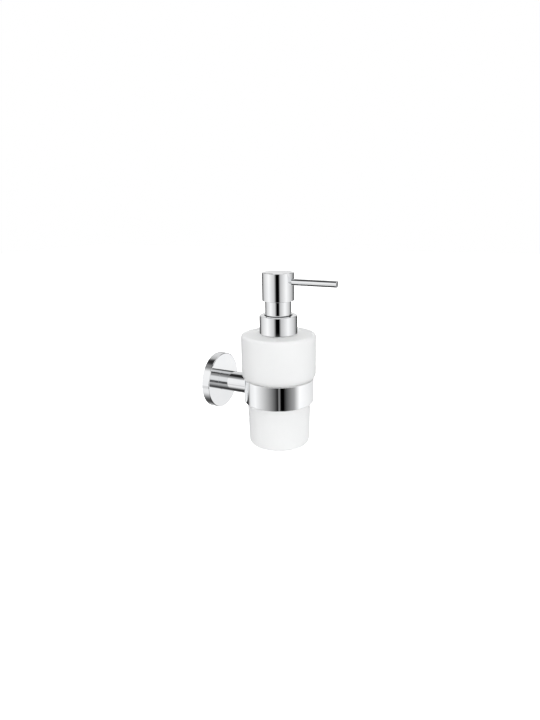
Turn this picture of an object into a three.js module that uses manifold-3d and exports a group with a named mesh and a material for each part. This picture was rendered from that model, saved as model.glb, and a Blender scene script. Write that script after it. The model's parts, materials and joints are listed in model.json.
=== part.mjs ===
// Wall mounted soap dispenser: a chrome wall holder, a frosted glass bottle and a lotion pump.
// Millimetres, +Z up. The wall is the plane y = 0 and the dispenser stands out along -Y.
// The origin is the centre of the mounting face, level with the middle of the arm.
import * as THREE from "three";
import { mergeVertices } from "three/addons/utils/BufferGeometryUtils.js";
import Module from "manifold-3d";

const wasm = await Module();
wasm.setup();

// ---------- Driving dimensions ----------
const WALL_TO_AXIS = 70; // wall to the bottle's axis
const FIT = 0.3; // clearance between neighbouring pieces

// Wall fixing, measured outwards from the wall
const ROSETTE_R = 27.4;
const ROSETTE_DEPTH = 8.4;
const ROSETTE_WALL = 3;
const ROSETTE_FACE = 2.4;
const ROSETTE_EDGE = 0.8;
const BRACKET_R = 23.2;
const BRACKET_PLATE = 2;
const BRACKET_RIM = 5.4;
const SCREW_SPACING = 28; // between the two wall screw holes
const SCREW_HOLE_R = 2.6;
const SCREW_SINK_R = 4.9;
const GRUB_R = 2;
const GRUB_OUT = 3.6; // grub screw's distance from the wall

// Arm and its two hidden fasteners
const ARM_R = 10;
const BOLT_R = 2.4;
const BOLT_HEAD_R = 4.2;
const BOLT_HEAD = 2.4;
const BOLT_END = 19;
const WASHER_R = 5.2;
const WASHER = 0.8;
const RING_SCREW_R = 1.9;
const RING_SCREW_HEAD_R = 3.5;
const RING_SCREW_REACH = 44.5; // tip's distance from the bottle's axis

// Ring that carries the bottle, and the loose liner inside it
const RING_R = 33;
const RING_BORE = 31.2;
const RING_HALF = 11.25;
const RING_EDGE = 0.4;
const LINER_R = 31;
const LINER_BORE = 30.45;
const LINER_LIP_R = 31.6;
const LINER_LIP = 0.4;
const LINER_REST = 0.1; // gap between the ring's top and the liner's lip

// Bottle
const BODY_R = 35;
const BODY_TOP = 53.5;
const BODY_EDGE = 3;
const LIP_BOTTOM = 11.9;
const LIP_EDGE = 4;
const SHANK_R = 30.1; // part that passes through the ring
const FOOT_R = 29;
const FOOT_BOTTOM = -53.5;
const FOOT_EDGE = 3;
const GLASS = 3.3;
const NECK_R = 13.9;
const NECK_BORE = 11;
const NECK_TOP = 66;

// Screw thread shared by the neck and the closure
const THREAD_PITCH = 4;
const THREAD_TURNS = 1.25;
const THREAD_DEPTH = 1.3;
const THREAD_ROOT = 1.6; // width at the root
const THREAD_CREST = 0.9;
const THREAD_START = 58; // lower end of the neck's thread

// Collar and the fixed sleeve that the head slides over
const COLLAR_R = 17.4;
const COLLAR_WALL = 0.9;
const COLLAR_BOTTOM = 54;
const COLLAR_TOP = 71;
const CLOSURE_R = 16.2;
const CLOSURE_BORE = 15.6;
const CLOSURE_PLATE = 69; // underside of the closure's top plate
const SPIGOT_R = 10.7;
const SPIGOT_BORE = 9.7;
const SPIGOT_TOP = 75;
const SLEEVE_R = 12;
const SLEEVE_BORE = 11;
const SLEEVE_TOP = 86.4;

// Pump
const FLANGE_R = 14;
const FLANGE_BOTTOM = 67.7;
const FLANGE_TOP = 68.7;
const HOUSING_R = 8.5;
const CYLINDER_R = 7.2;
const SPRING_SEAT = 32;
const VALVE_CHAMBER_R = 3;
const VALVE_SEAT = 26;
const TAIL_R = 4.1;
const TAIL_BOTTOM = 16;
const TUBE_R = 2.6;
const TUBE_BORE = 1.7;
const TUBE_TOP = 24.2;
const TUBE_BOTTOM = -46;
const STEM_R = 4;
const STEM_FOOT = 52.5;
const STEM_TOP = 96.5;
const PISTON_R = 6.95;
const PISTON_BOTTOM = 54;
const PISTON_TOP = 61.6;
const WIRE_R = 0.5;
const SPRING_R = 5.2;
const INLET_BALL_R = 2.4;
const OUTLET_BALL_R = 1.9;
const BALL_GAP = 0.1;

// Head and spout
const HEAD_R = 14.5;
const HEAD_BORE = 13.2;
const HEAD_BOTTOM = 84.5;
const HEAD_TOP = 110;
const HEAD_EDGE = 0.8;
const HEAD_CEILING = 106.8;
const INSERT_BOSS_R = 6.5;
const INSERT_SHELF = 97.8;
const SPOUT_R = 3;
const SPOUT_BORE = 1.9;
const SPOUT_Z = 101.7;
const SPOUT_START = 6.3; // distances from the bottle's axis
const SPOUT_END = 56.5;
const OUTLET_BACK = 8; // outlet hole to the spout's tip
const OUTLET_R = 1.3;

// Facets round a full turn
const ROUND_LARGE = 56;
const ROUND_MEDIUM = 40;
const ROUND_SMALL = 24;
const ROUND_TINY = 16;

// ---------- Shape helpers ----------
// Solid of revolution about Z. The profile is [radius, z] points, anticlockwise.
function turned(profile, segments) {
  const points = profile.map(([r, z]) => new THREE.Vector2(r, z));
  if (profile[0][0] > 0) {
    points.push(points[0].clone());
  }
  return new THREE.LatheGeometry(points, segments).rotateX(Math.PI / 2);
}

// Points along a quarter-round corner, from one angle to another in degrees.
function corner(r, z, radius, from, to, steps) {
  const points = [];
  for (let i = 0; i <= steps; i += 1) {
    const a = THREE.MathUtils.degToRad(from + ((to - from) * i) / steps);
    points.push([r + radius * Math.cos(a), z + radius * Math.sin(a)]);
  }
  return points;
}

// Cylinder or regular prism along Z, from z = bottom to z = top.
function rod(radius, bottom, top, segments) {
  return new THREE.CylinderGeometry(radius, radius, top - bottom, segments)
    .rotateX(Math.PI / 2)
    .translate(0, 0, (top + bottom) / 2);
}

// Cone frustum along Z.
function cone(bottomR, topR, bottom, top, segments) {
  return new THREE.CylinderGeometry(topR, bottomR, top - bottom, segments)
    .rotateX(Math.PI / 2)
    .translate(0, 0, (top + bottom) / 2);
}

function toSolid(geometry) {
  const bare = new THREE.BufferGeometry();
  bare.setAttribute("position", geometry.getAttribute("position").clone());
  bare.setIndex(geometry.index);
  const merged = mergeVertices(bare, 1e-4);
  const triVerts = [];
  const index = merged.index.array;
  for (let i = 0; i < index.length; i += 3) {
    const [a, b, c] = [index[i], index[i + 1], index[i + 2]];
    if (a !== b && b !== c && a !== c) {
      triVerts.push(a, b, c);
    }
  }
  return new wasm.Manifold(
    new wasm.Mesh({
      numProp: 3,
      vertProperties: merged.getAttribute("position").array,
      triVerts: new Uint32Array(triVerts),
    }),
  );
}

function toGeometry(solid) {
  const mesh = solid.getMesh();
  const geometry = new THREE.BufferGeometry();
  geometry.setAttribute("position", new THREE.BufferAttribute(mesh.vertProperties, 3));
  geometry.setIndex(new THREE.BufferAttribute(mesh.triVerts, 1));
  geometry.computeVertexNormals();
  return geometry;
}

// Removes each cutter from a geometry.
function cut(geometry, ...cutters) {
  let solid = toSolid(geometry);
  for (const cutter of cutters) {
    solid = solid.subtract(toSolid(cutter));
  }
  return toGeometry(solid);
}

function joined(geometry, other) {
  return toGeometry(toSolid(geometry).add(toSolid(other)));
}

// Right-hand helical ridge on a cylinder of radius base with that many facets round a turn.
// Direction is +1 outwards, -1 inwards.
function threadRidge(base, direction, startZ, facets) {
  const steps = Math.round(THREAD_TURNS * facets);
  const runIn = 4;
  const bury = 0.3;
  const positions = [];
  const index = [];
  for (let i = 0; i <= steps; i += 1) {
    const turns = (i + 0.5) / facets;
    const a = turns * 2 * Math.PI;
    const rise = startZ + turns * THREAD_PITCH;
    const ramp = Math.min(1, 0.4 + i / runIn, 0.4 + (steps - i) / runIn);
    const crest = base + direction * THREAD_DEPTH * ramp;
    const root = base - direction * bury;
    const section = [
      [root, -THREAD_ROOT / 2],
      [root, THREAD_ROOT / 2],
      [crest, THREAD_CREST / 2],
      [crest, -THREAD_CREST / 2],
    ];
    for (const [r, z] of section) {
      positions.push(r * Math.cos(a), r * Math.sin(a), rise + z);
    }
  }
  const quad = (a, b, c, d) => {
    const corners = direction > 0 ? [a, c, b, a, d, c] : [a, b, c, a, c, d];
    index.push(...corners);
  };
  for (let i = 0; i < steps; i += 1) {
    for (let k = 0; k < 4; k += 1) {
      const here = i * 4;
      const next = here + 4;
      quad(here + k, next + k, next + ((k + 1) % 4), here + ((k + 1) % 4));
    }
  }
  quad(0, 1, 2, 3);
  const last = steps * 4;
  quad(last + 3, last + 2, last + 1, last);
  const geometry = new THREE.BufferGeometry();
  geometry.setAttribute("position", new THREE.Float32BufferAttribute(positions, 3));
  geometry.setIndex(index);
  return geometry;
}

// Compression spring's centre line: closed coils at both ends, open coils between.
class SpringLine extends THREE.Curve {
  constructor(radius, bottom, top, closedCoils, openCoils, closedPitch) {
    super();
    Object.assign(this, { radius, bottom, top, closedCoils, openCoils, closedPitch });
  }

  getPoint(t, target = new THREE.Vector3()) {
    const turns = t * (this.openCoils + 2 * this.closedCoils);
    const closedRise = this.closedCoils * this.closedPitch;
    const openRise = this.top - this.bottom - 2 * closedRise;
    const low = Math.min(turns, this.closedCoils) * this.closedPitch;
    const middle = THREE.MathUtils.clamp((turns - this.closedCoils) / this.openCoils, 0, 1);
    const high = Math.max(0, turns - this.closedCoils - this.openCoils) * this.closedPitch;
    const a = turns * 2 * Math.PI;
    const z = this.bottom + low + middle * openRise + high;
    return target.set(this.radius * Math.cos(a), this.radius * Math.sin(a), z);
  }
}

// ---------- Materials ----------
const finish = (color, roughness, metalness, extra = {}) => () =>
  new THREE.MeshStandardMaterial({ color, roughness, metalness, ...extra });
const chrome = finish(0xdfe2e6, 0.08, 1);
const zincSteel = finish(0x9ea3a8, 0.4, 1);
const springSteel = finish(0xb4b8bd, 0.25, 1);
const frostedGlass = finish(0xf1f5f5, 0.65, 0, { transparent: true, opacity: 0.85 });
const whitePlastic = finish(0xf2f2ef, 0.45, 0);
const clearPlastic = finish(0xe6ecee, 0.3, 0, { transparent: true, opacity: 0.6 });
const rubber = finish(0x2b2c2e, 0.8, 0);

function piece(name, geometry, material) {
  const mesh = new THREE.Mesh(geometry, material());
  mesh.name = name;
  return mesh;
}

// ---------- Wall holder: local +Z points away from the wall, local +Y is up ----------
function wallBracket() {
  const dish = turned(
    [
      [0, 0],
      [BRACKET_R, 0],
      [BRACKET_R, BRACKET_RIM],
      [BRACKET_R - 1.8, BRACKET_RIM],
      [BRACKET_R - 1.8, BRACKET_PLATE],
      [0, BRACKET_PLATE],
    ],
    ROUND_MEDIUM,
  );
  const holes = [];
  for (const side of [-1, 1]) {
    const x = (side * SCREW_SPACING) / 2;
    holes.push(rod(SCREW_HOLE_R, -1, BRACKET_PLATE + 1, ROUND_SMALL).translate(x, 0, 0));
    const sinkTop = BRACKET_PLATE + 0.4;
    const sinkBottom = sinkTop - (SCREW_SINK_R - SCREW_HOLE_R + 0.4);
    holes.push(
      cone(SCREW_HOLE_R - 0.4, SCREW_SINK_R, sinkBottom, sinkTop, ROUND_SMALL).translate(x, 0, 0),
    );
  }
  return piece("wall_bracket", cut(dish, ...holes), zincSteel);
}

function rosette() {
  const inner = ROSETTE_R - ROSETTE_WALL;
  const ceiling = ROSETTE_DEPTH - ROSETTE_FACE;
  const hole = BOLT_R + FIT;
  const cup = turned(
    [
      [inner, 0.2],
      [ROSETTE_R - 0.3, 0.2],
      [ROSETTE_R, 0.5],
      ...corner(ROSETTE_R - ROSETTE_EDGE, ROSETTE_DEPTH - ROSETTE_EDGE, ROSETTE_EDGE, 0, 90, 3),
      [hole, ROSETTE_DEPTH],
      [hole, ceiling],
      [inner, ceiling],
    ],
    ROUND_LARGE,
  );
  const grubHole = rod(GRUB_R + 0.15, inner - 1, ROSETTE_R + 1, ROUND_TINY)
    .rotateX(Math.PI / 2)
    .translate(0, 0, GRUB_OUT);
  return piece("rosette", cut(cup, grubHole), chrome);
}

// Socket set screw under the rosette that grips the bracket's rim.
function rosetteGrubScrew() {
  const start = BRACKET_R + FIT;
  const end = ROSETTE_R - 0.4;
  const body = turned(
    [
      [0, start],
      [GRUB_R - 0.6, start],
      [GRUB_R, start + 0.6],
      [GRUB_R, end],
      [0, end],
    ],
    ROUND_TINY,
  );
  const socket = rod(1.1, end - 1.6, end + 1, 6);
  const screw = cut(body, socket).rotateX(Math.PI / 2).translate(0, 0, GRUB_OUT);
  return piece("rosette_grub_screw", screw, zincSteel);
}

function armPost() {
  const start = ROSETTE_DEPTH + FIT;
  const bar = rod(ARM_R, start, WALL_TO_AXIS - RING_R + 4, ROUND_MEDIUM);
  const saddle = rod(RING_R + FIT, -20, 20, ROUND_LARGE)
    .rotateX(Math.PI / 2)
    .translate(0, 0, WALL_TO_AXIS);
  const boltHole = rod(BOLT_R + FIT, start - 1, BOLT_END + 1, ROUND_TINY);
  const ringHole = rod(
    RING_SCREW_R + FIT,
    WALL_TO_AXIS - RING_SCREW_REACH - 1,
    WALL_TO_AXIS - RING_R + 5,
    ROUND_TINY,
  );
  return piece("arm_post", cut(bar, saddle, boltHole, ringHole), chrome);
}

function armWasher() {
  const front = ROSETTE_DEPTH - ROSETTE_FACE - FIT;
  const ring = turned(
    [
      [BOLT_R + FIT, front - WASHER],
      [WASHER_R, front - WASHER],
      [WASHER_R, front],
      [BOLT_R + FIT, front],
    ],
    ROUND_SMALL,
  );
  return piece("arm_washer", ring, zincSteel);
}

// Low-head socket bolt that pulls the arm against the rosette from behind.
function armBolt() {
  const headTop = ROSETTE_DEPTH - ROSETTE_FACE - 2 * FIT - WASHER;
  const headBottom = headTop - BOLT_HEAD;
  const body = turned(
    [
      [0, headBottom],
      [BOLT_HEAD_R - 0.4, headBottom],
      [BOLT_HEAD_R, headBottom + 0.4],
      [BOLT_HEAD_R, headTop],
      [BOLT_R, headTop],
      [BOLT_R, BOLT_END - 0.6],
      [BOLT_R - 0.6, BOLT_END],
      [0, BOLT_END],
    ],
    ROUND_SMALL,
  );
  return piece("arm_bolt", cut(body, rod(1.75, headBottom - 1, headBottom + 1.3, 6)), zincSteel);
}

// ---------- Ring, about the bottle's axis: local +Y points to the wall ----------
// Lays a shape made along +Z along +Y instead.
const towardsWall = (geometry) => geometry.rotateX(-Math.PI / 2);

function ringScrewProfile(grow) {
  const head = RING_BORE + 0.3 - grow;
  const neck = head + RING_SCREW_HEAD_R - RING_SCREW_R + grow;
  return { head, neck, headR: RING_SCREW_HEAD_R + grow, shankR: RING_SCREW_R + grow };
}

function holderRing() {
  const band = turned(
    [
      [RING_BORE, -RING_HALF],
      [RING_R - RING_EDGE, -RING_HALF],
      [RING_R, -RING_HALF + RING_EDGE],
      [RING_R, RING_HALF - RING_EDGE],
      [RING_R - RING_EDGE, RING_HALF],
      [RING_BORE, RING_HALF],
    ],
    ROUND_LARGE,
  );
  const { head, neck, headR, shankR } = ringScrewProfile(0.2);
  const sink = cone(headR, shankR, head, neck, ROUND_SMALL);
  const mouth = rod(headR, RING_BORE - 2, head + 0.01, ROUND_SMALL);
  const hole = rod(shankR, RING_BORE - 2, RING_R + 2, ROUND_SMALL);
  return piece(
    "holder_ring",
    cut(band, towardsWall(sink), towardsWall(mouth), towardsWall(hole)),
    chrome,
  );
}

// Countersunk screw from inside the ring into the end of the arm.
function ringScrew() {
  const { head, neck, headR, shankR } = ringScrewProfile(0);
  const body = turned(
    [
      [0, head],
      [headR, head],
      [shankR, neck],
      [shankR, RING_SCREW_REACH - 0.5],
      [shankR - 0.5, RING_SCREW_REACH],
      [0, RING_SCREW_REACH],
    ],
    ROUND_SMALL,
  );
  const socket = rod(1.4, head - 1, head + 1.1, 6);
  return piece("ring_screw", towardsWall(cut(body, socket)), zincSteel);
}

function ringLiner() {
  const lipBottom = RING_HALF + LINER_REST;
  const bush = turned(
    [
      [LINER_BORE, -RING_HALF + 1.5],
      [LINER_R, -RING_HALF + 1.5],
      [LINER_R, lipBottom],
      [LINER_LIP_R, lipBottom],
      [LINER_LIP_R, lipBottom + LINER_LIP],
      [LINER_BORE, lipBottom + LINER_LIP],
    ],
    ROUND_LARGE,
  );
  return piece("ring_liner", bush, whitePlastic);
}

// ---------- Bottle ----------
function glassBottle() {
  const outside = [
    [0, FOOT_BOTTOM + 1],
    [20, FOOT_BOTTOM + 1],
    [22.5, FOOT_BOTTOM],
    ...corner(FOOT_R - FOOT_EDGE, FOOT_BOTTOM + FOOT_EDGE, FOOT_EDGE, -90, 0, 2),
    [SHANK_R, -RING_HALF],
    [SHANK_R, LIP_BOTTOM],
    ...corner(BODY_R - LIP_EDGE, LIP_BOTTOM + LIP_EDGE, LIP_EDGE, -90, 0, 3),
    ...corner(BODY_R - BODY_EDGE, BODY_TOP - BODY_EDGE, BODY_EDGE, 0, 90, 3),
    [NECK_R + 0.7, BODY_TOP],
    [NECK_R, BODY_TOP + 0.7],
    [NECK_R, NECK_TOP - 0.5],
    [NECK_R - 0.5, NECK_TOP],
  ];
  const inside = [
    [NECK_BORE + 0.4, NECK_TOP],
    [NECK_BORE, NECK_TOP - 0.4],
    [NECK_BORE, BODY_TOP - GLASS],
    [BODY_R - GLASS - 2, BODY_TOP - GLASS],
    [BODY_R - GLASS, BODY_TOP - GLASS - 2],
    [BODY_R - GLASS, LIP_BOTTOM + 5],
    [SHANK_R - GLASS, LIP_BOTTOM + 1],
    [SHANK_R - GLASS, -RING_HALF],
    [FOOT_R - GLASS, FOOT_BOTTOM + GLASS + 3],
    [FOOT_R - GLASS - 3, FOOT_BOTTOM + GLASS],
    [20, FOOT_BOTTOM + GLASS],
    [0, FOOT_BOTTOM + GLASS + 0.8],
  ];
  const blown = turned([...outside, ...inside], ROUND_LARGE);
  const thread = threadRidge(NECK_R, 1, THREAD_START, ROUND_LARGE);
  return piece("glass_bottle", joined(blown, thread), frostedGlass);
}

// ---------- Collar ----------
function collarShell() {
  const hole = SLEEVE_R + 0.35;
  const shell = turned(
    [
      [COLLAR_R - COLLAR_WALL, COLLAR_BOTTOM],
      [COLLAR_R - 0.2, COLLAR_BOTTOM],
      [COLLAR_R, COLLAR_BOTTOM + 0.2],
      [COLLAR_R, COLLAR_TOP - 0.6],
      [COLLAR_R - 0.6, COLLAR_TOP],
      [hole, COLLAR_TOP],
      [hole, COLLAR_TOP - 0.8],
      [COLLAR_R - COLLAR_WALL, COLLAR_TOP - 0.8],
    ],
    ROUND_LARGE,
  );
  return piece("collar_shell", shell, chrome);
}

function threadedClosure() {
  const plateTop = CLOSURE_PLATE + 0.9;
  const cap = turned(
    [
      [CLOSURE_BORE, COLLAR_BOTTOM + 0.5],
      [CLOSURE_R, COLLAR_BOTTOM + 0.5],
      [CLOSURE_R, plateTop],
      [SPIGOT_R, plateTop],
      [SPIGOT_R, SPIGOT_TOP],
      [SPIGOT_BORE, SPIGOT_TOP],
      [SPIGOT_BORE, CLOSURE_PLATE],
      [CLOSURE_BORE, CLOSURE_PLATE],
    ],
    ROUND_MEDIUM,
  );
  const thread = threadRidge(CLOSURE_BORE, -1, THREAD_START - THREAD_PITCH / 2, ROUND_MEDIUM);
  return piece("threaded_closure", joined(cap, thread), whitePlastic);
}

function guideSleeve() {
  const foot = CLOSURE_PLATE + 0.9 + FIT;
  const tube = turned(
    [
      [SLEEVE_BORE, foot],
      [SLEEVE_R, foot],
      [SLEEVE_R, SLEEVE_TOP - 0.4],
      [SLEEVE_R - 0.4, SLEEVE_TOP],
      [SLEEVE_BORE, SLEEVE_TOP],
    ],
    ROUND_MEDIUM,
  );
  return piece("guide_sleeve", tube, chrome);
}

// ---------- Pump ----------
function neckGasket() {
  const washer = turned(
    [
      [HOUSING_R + FIT, NECK_TOP + FIT],
      [FLANGE_R - 0.2, NECK_TOP + FIT],
      [FLANGE_R - 0.2, FLANGE_BOTTOM - FIT],
      [HOUSING_R + FIT, FLANGE_BOTTOM - FIT],
    ],
    ROUND_SMALL,
  );
  return piece("neck_gasket", washer, rubber);
}

function pumpHousing() {
  const tailShoulder = VALVE_SEAT - 1.5;
  const lip = INLET_BALL_R - 0.2;
  const body = turned(
    [
      [TUBE_R + FIT, TAIL_BOTTOM],
      [TAIL_R, TAIL_BOTTOM],
      [TAIL_R, tailShoulder],
      [HOUSING_R, tailShoulder + 4.5],
      [HOUSING_R, FLANGE_BOTTOM],
      [FLANGE_R, FLANGE_BOTTOM],
      [FLANGE_R, FLANGE_TOP],
      [CYLINDER_R, FLANGE_TOP],
      [CYLINDER_R, SPRING_SEAT],
      [lip, SPRING_SEAT],
      [lip, SPRING_SEAT - 0.6],
      [VALVE_CHAMBER_R, SPRING_SEAT - 1.1],
      [VALVE_CHAMBER_R, VALVE_SEAT + VALVE_CHAMBER_R - TUBE_BORE],
      [TUBE_BORE, VALVE_SEAT],
      [TUBE_BORE, tailShoulder],
      [TUBE_R + FIT, tailShoulder],
    ],
    ROUND_SMALL,
  );
  return piece("pump_housing", body, clearPlastic);
}

// Bush pressed into the top of the housing: guides the stem and stops the piston.
function housingCap() {
  const bush = turned(
    [
      [STEM_R + FIT, PISTON_TOP + FIT],
      [PISTON_R, PISTON_TOP + FIT],
      [PISTON_R, FLANGE_TOP + FIT],
      [SPIGOT_BORE - FIT, FLANGE_TOP + FIT],
      [SPIGOT_BORE - FIT, FLANGE_TOP + FIT + 1.4],
      [STEM_R + FIT, FLANGE_TOP + FIT + 1.4],
    ],
    ROUND_SMALL,
  );
  return piece("housing_cap", bush, whitePlastic);
}

function dipTube() {
  const tube = turned(
    [
      [TUBE_BORE, TUBE_BOTTOM],
      [TUBE_R, TUBE_BOTTOM],
      [TUBE_R, TUBE_TOP],
      [TUBE_BORE, TUBE_TOP],
    ],
    ROUND_TINY,
  );
  const slant = new THREE.BoxGeometry(12, 12, 6)
    .translate(0, 0, -3)
    .rotateX(THREE.MathUtils.degToRad(35))
    .translate(0, 0, TUBE_BOTTOM + TUBE_R);
  return piece("dip_tube", cut(tube, slant), clearPlastic);
}

function returnSpring() {
  const bottom = SPRING_SEAT + FIT + WIRE_R;
  const top = STEM_FOOT - FIT - WIRE_R;
  const line = new SpringLine(SPRING_R, bottom, top, 1, 4, 2.3 * WIRE_R);
  const wire = new THREE.Shape();
  wire.absarc(0, 0, WIRE_R, 0, 2 * Math.PI);
  const coil = new THREE.ExtrudeGeometry(wire, {
    steps: 72,
    curveSegments: 3,
    bevelEnabled: false,
    extrudePath: line,
  });
  return piece("return_spring", toGeometry(toSolid(coil)), springSteel);
}

// Ball resting in a 45 degree conical seat whose narrow end is at radius r and height z.
function ball(name, radius, r, z) {
  const centre = z - r + (radius + BALL_GAP) * Math.SQRT2;
  const sphere = new THREE.SphereGeometry(radius, 14, 9).rotateX(Math.PI / 2);
  const mesh = piece(name, toGeometry(toSolid(sphere)), springSteel);
  mesh.position.z = centre;
  return mesh;
}

function stem() {
  const bore = 1.3;
  const chamber = 2.4;
  const chamberFloor = 90;
  const tube = turned(
    [
      [bore, STEM_FOOT],
      [5.7, STEM_FOOT],
      [5.7, STEM_FOOT + 1.2],
      [STEM_R, STEM_FOOT + 1.2],
      [STEM_R, STEM_TOP],
      [chamber, STEM_TOP],
      [chamber, chamberFloor],
      [bore, chamberFloor - (chamber - bore)],
    ],
    ROUND_SMALL,
  );
  return [
    piece("stem", tube, whitePlastic),
    ball("outlet_ball", OUTLET_BALL_R, bore, chamberFloor - (chamber - bore)),
  ];
}

function piston() {
  const waist = PISTON_R - 0.75;
  const lip = 1.6;
  const seal = turned(
    [
      [STEM_R + 0.25, PISTON_BOTTOM],
      [PISTON_R, PISTON_BOTTOM],
      [PISTON_R, PISTON_BOTTOM + lip],
      [waist, PISTON_BOTTOM + lip + 0.9],
      [waist, PISTON_TOP - lip - 0.9],
      [PISTON_R, PISTON_TOP - lip],
      [PISTON_R, PISTON_TOP],
      [STEM_R + 0.25, PISTON_TOP],
    ],
    ROUND_SMALL,
  );
  return piece("piston", seal, whitePlastic);
}

// ---------- Head: the spout points away from the wall, along -Y ----------
const awayFromWall = (geometry) => geometry.rotateX(Math.PI / 2).translate(0, 0, SPOUT_Z);

function pumpHead() {
  const cup = turned(
    [
      [0, HEAD_CEILING],
      [HEAD_BORE, HEAD_CEILING],
      [HEAD_BORE, HEAD_BOTTOM],
      [HEAD_R - 0.3, HEAD_BOTTOM],
      [HEAD_R, HEAD_BOTTOM + 0.3],
      [HEAD_R, HEAD_TOP - HEAD_EDGE],
      [HEAD_R - HEAD_EDGE, HEAD_TOP],
      [0, HEAD_TOP],
    ],
    ROUND_LARGE,
  );
  const spoutHole = awayFromWall(rod(SPOUT_R + 0.2, HEAD_BORE - 3, HEAD_R + 3, ROUND_SMALL));
  return piece("pump_head", cut(cup, spoutHole), chrome);
}

// Plastic core that joins the stem to the spout.
function headInsert() {
  const bottom = 86;
  const outer = HEAD_BORE - FIT;
  const top = HEAD_CEILING - FIT;
  const body = turned(
    [
      [0, STEM_TOP + FIT],
      [STEM_R + 0.25, STEM_TOP + FIT],
      [STEM_R + 0.25, bottom],
      [INSERT_BOSS_R, bottom],
      [INSERT_BOSS_R, INSERT_SHELF],
      [outer, INSERT_SHELF],
      [outer, top],
      [0, top],
    ],
    ROUND_MEDIUM,
  );
  const riser = rod(1.9, STEM_TOP - 1, SPOUT_Z + 1.9, ROUND_TINY);
  const crossChannel = awayFromWall(rod(1.5, 0.5, SPOUT_START, ROUND_TINY));
  const socket = awayFromWall(rod(SPOUT_R + 0.2, SPOUT_START - FIT, outer + 2, ROUND_SMALL));
  return piece("head_insert", cut(body, riser, crossChannel, socket), whitePlastic);
}

// Drilled rod with a closed, bevelled tip and an outlet hole underneath.
function spoutTube() {
  const bevel = 0.5;
  const bar = turned(
    [
      [0, SPOUT_END - 2.5],
      [SPOUT_BORE, SPOUT_END - 3.5],
      [SPOUT_BORE, SPOUT_START],
      [SPOUT_R, SPOUT_START],
      [SPOUT_R, SPOUT_END - bevel],
      [SPOUT_R - bevel, SPOUT_END],
      [0, SPOUT_END],
    ],
    ROUND_SMALL,
  );
  const outlet = rod(OUTLET_R, SPOUT_Z - SPOUT_R - 1, SPOUT_Z, ROUND_TINY)
    .translate(0, -(SPOUT_END - OUTLET_BACK), 0);
  return piece("spout_tube", cut(awayFromWall(bar), outlet), chrome);
}

// ---------- Assembly ----------
function group(name, ...children) {
  const made = new THREE.Group();
  made.name = name;
  made.add(...children);
  return made;
}

const wallFixing = group(
  "wall_fixing",
  wallBracket(),
  rosette(),
  rosetteGrubScrew(),
  armWasher(),
  armBolt(),
  armPost(),
);
wallFixing.rotation.x = Math.PI / 2;

const head = group("head", pumpHead(), headInsert(), spoutTube());
const plunger = group("plunger", ...stem(), piston(), head);
const collar = group("collar", collarShell(), threadedClosure(), guideSleeve());
const pump = group(
  "pump",
  neckGasket(),
  pumpHousing(),
  housingCap(),
  dipTube(),
  returnSpring(),
  ball("inlet_ball", INLET_BALL_R, TUBE_BORE, VALVE_SEAT),
  plunger,
  collar,
);
const bottle = group("bottle", glassBottle(), pump);
const onAxis = group("bottle_axis", holderRing(), ringScrew(), ringLiner(), bottle);
onAxis.position.y = -WALL_TO_AXIS;

export default group("wall_soap_dispenser", wallFixing, onAxis);
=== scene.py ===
"""Wall mounted soap dispenser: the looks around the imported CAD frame.

Metres, +Z up. The wall is the plane y = 0 and the dispenser stands out along -Y.
Outer radii, heights and places come from the CAD nodes' boxes. Edges, walls, the inner steps of the hidden
pieces, the thread and the surface detail are set here.
"""

import json
from math import cos, pi, radians, sin, sqrt, tan

import bmesh
import bpy
from mathutils import Matrix, Vector


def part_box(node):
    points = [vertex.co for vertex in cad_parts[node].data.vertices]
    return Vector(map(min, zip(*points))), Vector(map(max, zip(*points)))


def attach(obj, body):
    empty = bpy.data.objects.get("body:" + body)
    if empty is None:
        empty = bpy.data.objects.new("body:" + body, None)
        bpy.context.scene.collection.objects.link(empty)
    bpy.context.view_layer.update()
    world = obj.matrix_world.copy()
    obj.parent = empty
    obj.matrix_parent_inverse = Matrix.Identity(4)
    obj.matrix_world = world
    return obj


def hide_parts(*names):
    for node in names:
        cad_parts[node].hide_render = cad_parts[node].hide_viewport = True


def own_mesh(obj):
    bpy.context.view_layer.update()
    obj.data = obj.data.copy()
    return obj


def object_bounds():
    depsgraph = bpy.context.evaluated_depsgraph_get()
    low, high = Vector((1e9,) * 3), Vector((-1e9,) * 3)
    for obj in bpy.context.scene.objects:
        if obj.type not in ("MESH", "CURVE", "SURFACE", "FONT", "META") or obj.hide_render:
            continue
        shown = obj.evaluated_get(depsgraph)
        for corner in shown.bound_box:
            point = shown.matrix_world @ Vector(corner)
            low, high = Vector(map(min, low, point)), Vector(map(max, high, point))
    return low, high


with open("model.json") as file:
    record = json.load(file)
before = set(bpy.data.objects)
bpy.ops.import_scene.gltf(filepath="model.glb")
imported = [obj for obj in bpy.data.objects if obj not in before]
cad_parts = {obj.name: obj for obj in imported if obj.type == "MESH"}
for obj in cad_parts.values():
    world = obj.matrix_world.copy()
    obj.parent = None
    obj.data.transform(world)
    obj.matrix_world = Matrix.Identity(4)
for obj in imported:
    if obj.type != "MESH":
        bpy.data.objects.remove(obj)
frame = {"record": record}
cad_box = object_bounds()
record = frame["record"]

MM = 0.001
BODY_OF = {n: b for b, nodes in record["behaviour"]["bodies"].items() for n in nodes}
SLOT_OF = {p["node"]: p["material_slot"] for p in record["subparts"]}

# Frames in which the turned pieces are made: about the bottle's axis, or outwards from the wall.
AXIS_Y = sum(v.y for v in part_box("holder_ring")) / 2
UPRIGHT = Matrix.Translation((0, AXIS_Y, 0))
FROM_WALL = Matrix.Rotation(radians(90), 4, "X")

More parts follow.
